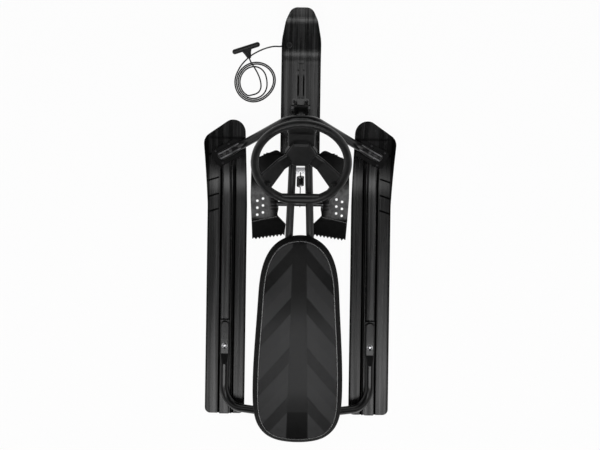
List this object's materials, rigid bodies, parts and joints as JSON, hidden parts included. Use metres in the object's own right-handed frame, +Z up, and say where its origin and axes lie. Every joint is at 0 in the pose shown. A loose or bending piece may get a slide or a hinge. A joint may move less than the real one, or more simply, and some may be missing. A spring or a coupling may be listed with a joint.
{
  "type": "steering sled",
  "caption": "Steering sled with a wheel-steered front ski, side skis, tubular frame, sprung claw foot brake, padded seat and pull cord.",
  "frame": {"origin": "middle of the sled's length and width, on the snow under the skis", "axes": "+X to the rider's right, +Y forward along the sled, +Z up"},
  "size_m": [0.52, 1.1492, 0.3814],
  "materials": {
    "frame_paint": "gloss black powder coat",
    "ski_plastic": "satin moulded plastic with fine lengthwise streaks",
    "wheel_plastic": "fine grained",
    "cover_plastic": "matt",
    "brake_plastic": "satin",
    "seat_shell_plastic": "semi gloss",
    "seat_pad_vinyl": "grained vinyl with a tonal chevron pattern",
    "zinc_steel": "bright zinc plate",
    "bar_steel": "drawn bar",
    "spring_steel": "oiled spring wire",
    "bush_plastic": "plain",
    "buffer_rubber": "plain",
    "cord_fibre": "braided",
    "handle_plastic": "satin"
  },
  "bodies": {
    "frame": {"left_main_tube": "frame_paint", "right_main_tube": "frame_paint", "tube_plugs": "bush_plastic", "head_cross_tube": "frame_paint", "head_tube": "frame_paint", "upper_bush": "bush_plastic", "lower_bush": "bush_plastic", "front_arch": "frame_paint", "front_foot_screws": "zinc_steel", "saddle_screws": "zinc_steel", "rear_hoop": "frame_paint", "rear_foot_bolts": "zinc_steel", "rear_foot_nuts": "zinc_steel", "left_ski": "ski_plastic", "right_ski": "ski_plastic", "brake_hangers": "frame_paint", "brake_axle": "bar_steel", "axle_caps": "bush_plastic", "brake_buffers": "buffer_rubber", "spring_anchor": "zinc_steel", "return_spring": "spring_steel", "seat_shell": "seat_shell_plastic", "seat_pad": "seat_pad_vinyl", "front_seat_strap": "frame_paint", "rear_seat_strap": "frame_paint", "seat_screws": "zinc_steel"},
    "steering": {"steering_wheel": "wheel_plastic", "hub_cover": "cover_plastic", "wheel_clamp_bolt": "zinc_steel", "wheel_clamp_nut": "zinc_steel", "thrust_washer": "bush_plastic", "steering_column": "frame_paint", "column_collar": "frame_paint", "collar_pin": "zinc_steel", "ski_fork": "frame_paint", "pivot_bolt": "zinc_steel", "pivot_nut": "zinc_steel", "pivot_washers": "zinc_steel"},
    "front_ski": {"front_ski": "ski_plastic", "ski_bracket": "frame_paint", "pivot_sleeve": "zinc_steel", "bracket_screws": "zinc_steel", "cord_grommet": "bush_plastic", "cord_knot": "cord_fibre", "pull_cord_lead": "cord_fibre", "pull_cord_coil": "cord_fibre", "pull_cord_tail": "cord_fibre", "pull_handle": "handle_plastic"},
    "brake": {"left_pedal": "brake_plastic", "right_pedal": "brake_plastic", "tie_bar": "bar_steel", "tie_bar_clips": "zinc_steel"}
  },
  "joints": [
    {"name": "steering", "type": "hinge", "parent": "frame", "child": "steering", "pos_m": [0, 0.139, 0.3], "axis": [0, -0.6157, 0.788], "range_deg": [-28, 28]},
    {"name": "ski_pitch", "type": "hinge", "parent": "steering", "child": "front_ski", "pos_m": [0, 0.304, 0.062], "axis": [1, 0, 0], "range_deg": [-14, 14]},
    {"name": "brake_pivot", "type": "hinge", "parent": "frame", "child": "brake", "pos_m": [0, 0.166, 0.132], "axis": [1, 0, 0], "range_deg": [0, 16], "stiffness_Nm_per_rad": 4, "springref_deg": -14.32, "deforming": ["return_spring"]}
  ]
}
